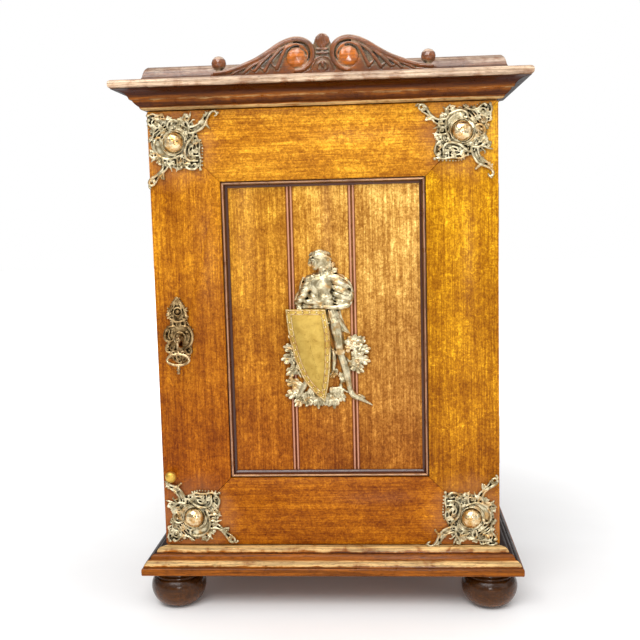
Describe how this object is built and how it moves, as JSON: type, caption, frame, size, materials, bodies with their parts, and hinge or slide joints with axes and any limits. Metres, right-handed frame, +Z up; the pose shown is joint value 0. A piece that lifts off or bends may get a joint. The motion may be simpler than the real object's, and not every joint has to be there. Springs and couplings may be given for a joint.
{
  "type": "key cabinet",
  "caption": "Small oak key cabinet on bun feet with a hinged panelled door, carved crest, cast brass corner mounts, a page relief with shield, a lock with folding key, and hook rails inside.",
  "frame": {"origin": "middle of the footprint, on the surface that the feet stand on", "axes": "+Z up, -Y towards the viewer of the closed door, +X to that viewer's right"},
  "size_m": [0.411, 0.222, 0.5872],
  "materials": {
    "oak_rail": "glossy varnished golden-brown oak",
    "oak_panel": "glossy varnished orange-brown oak, darker towards the bottom",
    "oak_case": "varnished brown oak",
    "oak_moulding": "dark varnished oak with worn pale edges",
    "oak_foot": "very dark glossy turned wood",
    "brass_antique": "cast antique brass, dark in the recesses",
    "brass_bright": "worn golden brass",
    "steel_lock": "dull drawn steel"
  },
  "bodies": {
    "case": {"attic_board": "oak_moulding", "back_panel": "oak_case", "base_moulding_front": "oak_moulding", "base_moulding_left": "oak_moulding", "base_moulding_right": "oak_moulding", "base_plate": "oak_moulding", "bottom_board": "oak_case", "cornice_front": "oak_moulding", "cornice_left": "oak_moulding", "cornice_right": "oak_moulding", "crest": "oak_moulding", "crown_board": "oak_moulding", "foot_back_left": "oak_foot", "foot_back_right": "oak_foot", "foot_front_left": "oak_foot", "foot_front_right": "oak_foot", "hinge_lower_case_leaf": "brass_antique", "hinge_lower_pin": "brass_antique", "hinge_upper_case_leaf": "brass_antique", "hinge_upper_pin": "brass_antique", "hook_rail_bottom": "brass_antique", "hook_rail_middle": "brass_antique", "hook_rail_top": "brass_antique", "side_panel_left": "oak_case", "side_panel_right": "oak_case", "strike_plate": "brass_antique", "top_board": "oak_case"},
    "door": {"door_stile_left": "oak_rail", "door_stile_right": "oak_rail", "door_rail_top": "oak_rail", "door_rail_bottom": "oak_rail", "panel_board_left": "oak_panel", "panel_board_middle": "oak_panel", "panel_board_right": "oak_panel", "panel_moulding_top": "oak_moulding", "panel_moulding_bottom": "oak_moulding", "panel_moulding_left": "oak_moulding", "panel_moulding_right": "oak_moulding", "corner_mount_top_left": "brass_antique", "corner_mount_top_right": "brass_antique", "corner_mount_bottom_left": "brass_antique", "corner_mount_bottom_right": "brass_antique", "corner_boss_top_left": "brass_bright", "corner_boss_top_right": "brass_bright", "corner_boss_bottom_left": "brass_bright", "corner_boss_bottom_right": "brass_bright", "figure_relief": "brass_antique", "figure_shield": "brass_bright", "escutcheon": "brass_antique", "pull_knob": "brass_bright", "hinge_upper_door_leaf": "brass_antique", "hinge_lower_door_leaf": "brass_antique", "lock_case": "steel_lock", "lock_cover": "steel_lock", "lock_spring": "steel_lock"},
    "lock_bolt": {"lock_bolt": "steel_lock"},
    "key": {"key": "brass_antique", "key_pivot_pin": "brass_antique"},
    "key_bow": {"key_bow": "brass_antique"}
  },
  "joints": [
    {"name": "door_hinge", "type": "hinge", "parent": "case", "child": "door", "pos_m": [0.1752, -0.0584, 0.29125], "axis": [0, 0, 1], "range_deg": [0, 175]},
    {"name": "key_turn", "type": "hinge", "parent": "door", "child": "key", "pos_m": [-0.1505, -0.0945, 0.2865], "axis": [0, -1, 0], "range_deg": [0, 360]},
    {"name": "bolt_slide", "type": "slide", "parent": "door", "child": "lock_bolt", "axis": [-1, 0, 0], "range_m": [0, 0.007]},
    {"name": "key_bow_swing", "type": "hinge", "parent": "key", "child": "key_bow", "pos_m": [-0.1505, -0.0945, 0.2865], "axis": [-1, 0, 0], "range_deg": [0, 180]}
  ],
  "couplings": [
    {"joint": "bolt_slide", "follows": "key_turn", "m_per_rad": 0.001114}
  ]
}
